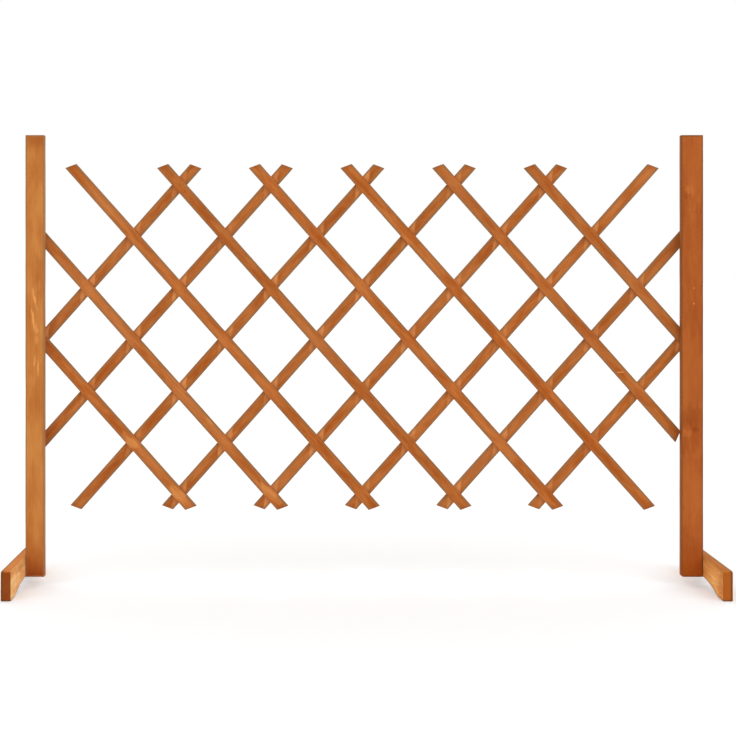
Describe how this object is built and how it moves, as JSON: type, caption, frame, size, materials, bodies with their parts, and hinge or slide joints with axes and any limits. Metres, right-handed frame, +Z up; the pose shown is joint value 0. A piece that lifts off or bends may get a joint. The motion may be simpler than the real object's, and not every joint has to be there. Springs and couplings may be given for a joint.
{
  "type": "expanding trellis fence",
  "caption": "Free-standing expanding trellis: crossed wooden slats pinned as a folding lattice between two posts on arched feet.",
  "frame": {"origin": "on the ground at the middle of the fence, the bottom centre of its box", "axes": "+X along the fence to the right, +Y to the back, +Z up"},
  "size_m": [1.394, 0.3, 0.9],
  "materials": {
    "left_post_wood": "semi-matt orange-brown stain",
    "right_post_wood": "semi-matt red-brown stain",
    "foot_wood": "semi-matt orange-brown stain",
    "front_slat_wood": "semi-matt orange-brown stain",
    "rear_slat_wood": "semi-matt orange-brown stain",
    "pin_steel": "plain steel",
    "screw_steel": "yellow zinc plating"
  },
  "bodies": {
    "left_post": {"left_post": "left_post_wood", "left_foot": "foot_wood", "left_foot_screws": "screw_steel", "left_pivot_pin": "pin_steel"},
    "front_slat_1": {"front_slat_1": "front_slat_wood", "slat_pins_1": "pin_steel"},
    "front_slat_2": {"front_slat_2": "front_slat_wood", "slat_pins_2": "pin_steel"},
    "front_slat_3": {"front_slat_3": "front_slat_wood", "slat_pins_3": "pin_steel"},
    "front_slat_4": {"front_slat_4": "front_slat_wood", "slat_pins_4": "pin_steel"},
    "front_slat_5": {"front_slat_5": "front_slat_wood", "slat_pins_5": "pin_steel"},
    "front_slat_6": {"front_slat_6": "front_slat_wood", "slat_pins_6": "pin_steel"},
    "front_slat_7": {"front_slat_7": "front_slat_wood", "slat_pins_7": "pin_steel"},
    "front_slat_8": {"front_slat_8": "front_slat_wood", "slat_pins_8": "pin_steel"},
    "rear_slat_1": {"rear_slat_1": "rear_slat_wood"},
    "rear_slat_2": {"rear_slat_2": "rear_slat_wood"},
    "rear_slat_3": {"rear_slat_3": "rear_slat_wood"},
    "rear_slat_4": {"rear_slat_4": "rear_slat_wood"},
    "rear_slat_5": {"rear_slat_5": "rear_slat_wood"},
    "rear_slat_6": {"rear_slat_6": "rear_slat_wood"},
    "rear_slat_7": {"rear_slat_7": "rear_slat_wood"},
    "rear_slat_8": {"rear_slat_8": "rear_slat_wood"},
    "right_post": {"right_post": "right_post_wood", "right_foot": "foot_wood", "right_foot_screws": "screw_steel", "right_pivot_pin": "pin_steel"}
  },
  "joints": [
    {"name": "lattice_fold", "type": "hinge", "parent": "left_post", "child": "rear_slat_1", "pos_m": [-0.649, 0.01545, 0.49], "axis": [0, -1, 0], "range_deg": [-19, 36]},
    {"name": "front_slat_1_pivot", "type": "hinge", "parent": "left_post", "child": "front_slat_1", "pos_m": [-0.649, 0.01545, 0.49], "axis": [0, -1, 0], "range_deg": [-36, 19]},
    {"name": "front_slat_2_pivot", "type": "hinge", "parent": "rear_slat_1", "child": "front_slat_2", "pos_m": [-0.55671, 0.01545, 0.59394], "axis": [0, -1, 0], "range_deg": [-72, 38]},
    {"name": "front_slat_3_pivot", "type": "hinge", "parent": "rear_slat_1", "child": "front_slat_3", "pos_m": [-0.46443, 0.01545, 0.69789], "axis": [0, -1, 0], "range_deg": [-72, 38]},
    {"name": "front_slat_4_pivot", "type": "hinge", "parent": "rear_slat_1", "child": "front_slat_4", "pos_m": [-0.37214, 0.01545, 0.80183], "axis": [0, -1, 0], "range_deg": [-72, 38]},
    {"name": "rear_slat_2_pivot", "type": "hinge", "parent": "front_slat_1", "child": "rear_slat_2", "pos_m": [-0.55671, 0.01545, 0.38606], "axis": [0, -1, 0], "range_deg": [-38, 72]},
    {"name": "rear_slat_3_pivot", "type": "hinge", "parent": "front_slat_1", "child": "rear_slat_3", "pos_m": [-0.46443, 0.01545, 0.28211], "axis": [0, -1, 0], "range_deg": [-38, 72]},
    {"name": "rear_slat_4_pivot", "type": "hinge", "parent": "front_slat_1", "child": "rear_slat_4", "pos_m": [-0.37214, 0.01545, 0.17817], "axis": [0, -1, 0], "range_deg": [-38, 72]},
    {"name": "rear_slat_5_pivot", "type": "hinge", "parent": "front_slat_4", "child": "rear_slat_5", "pos_m": [-0.003, 0.01545, 0.38606], "axis": [0, -1, 0], "range_deg": [-38, 72]},
    {"name": "rear_slat_6_pivot", "type": "hinge", "parent": "front_slat_4", "child": "rear_slat_6", "pos_m": [0.08929, 0.01545, 0.28211], "axis": [0, -1, 0], "range_deg": [-38, 72]},
    {"name": "rear_slat_7_pivot", "type": "hinge", "parent": "front_slat_4", "child": "rear_slat_7", "pos_m": [0.18157, 0.01545, 0.17817], "axis": [0, -1, 0], "range_deg": [-38, 72]},
    {"name": "front_slat_5_pivot", "type": "hinge", "parent": "rear_slat_4", "child": "front_slat_5", "pos_m": [-0.003, 0.01545, 0.59394], "axis": [0, -1, 0], "range_deg": [-72, 38]},
    {"name": "front_slat_6_pivot", "type": "hinge", "parent": "rear_slat_4", "child": "front_slat_6", "pos_m": [0.08929, 0.01545, 0.69789], "axis": [0, -1, 0], "range_deg": [-72, 38]},
    {"name": "front_slat_7_pivot", "type": "hinge", "parent": "rear_slat_4", "child": "front_slat_7", "pos_m": [0.18157, 0.01545, 0.80183], "axis": [0, -1, 0], "range_deg": [-72, 38]},
    {"name": "front_slat_8_pivot", "type": "hinge", "parent": "rear_slat_7", "child": "front_slat_8", "pos_m": [0.55071, 0.01545, 0.59394], "axis": [0, -1, 0], "range_deg": [-72, 38]},
    {"name": "rear_slat_8_pivot", "type": "hinge", "parent": "front_slat_7", "child": "rear_slat_8", "pos_m": [0.55071, 0.01545, 0.38606], "axis": [0, -1, 0], "range_deg": [-38, 72]},
    {"name": "right_post_pivot", "type": "hinge", "parent": "front_slat_8", "child": "right_post", "pos_m": [0.643, 0.01545, 0.49], "axis": [0, -1, 0], "range_deg": [-19, 36]}
  ],
  "couplings": [
    {"joint": "front_slat_1_pivot", "follows": "lattice_fold", "ratio": -1},
    {"joint": "front_slat_2_pivot", "follows": "lattice_fold", "ratio": -2},
    {"joint": "front_slat_3_pivot", "follows": "lattice_fold", "ratio": -2},
    {"joint": "front_slat_4_pivot", "follows": "lattice_fold", "ratio": -2},
    {"joint": "rear_slat_2_pivot", "follows": "lattice_fold", "ratio": 2},
    {"joint": "rear_slat_3_pivot", "follows": "lattice_fold", "ratio": 2},
    {"joint": "rear_slat_4_pivot", "follows": "lattice_fold", "ratio": 2},
    {"joint": "rear_slat_5_pivot", "follows": "lattice_fold", "ratio": 2},
    {"joint": "rear_slat_6_pivot", "follows": "lattice_fold", "ratio": 2},
    {"joint": "rear_slat_7_pivot", "follows": "lattice_fold", "ratio": 2},
    {"joint": "front_slat_5_pivot", "follows": "lattice_fold", "ratio": -2},
    {"joint": "front_slat_6_pivot", "follows": "lattice_fold", "ratio": -2},
    {"joint": "front_slat_7_pivot", "follows": "lattice_fold", "ratio": -2},
    {"joint": "front_slat_8_pivot", "follows": "lattice_fold", "ratio": -2},
    {"joint": "rear_slat_8_pivot", "follows": "lattice_fold", "ratio": 2},
    {"joint": "right_post_pivot", "follows": "lattice_fold", "ratio": 1}
  ]
}
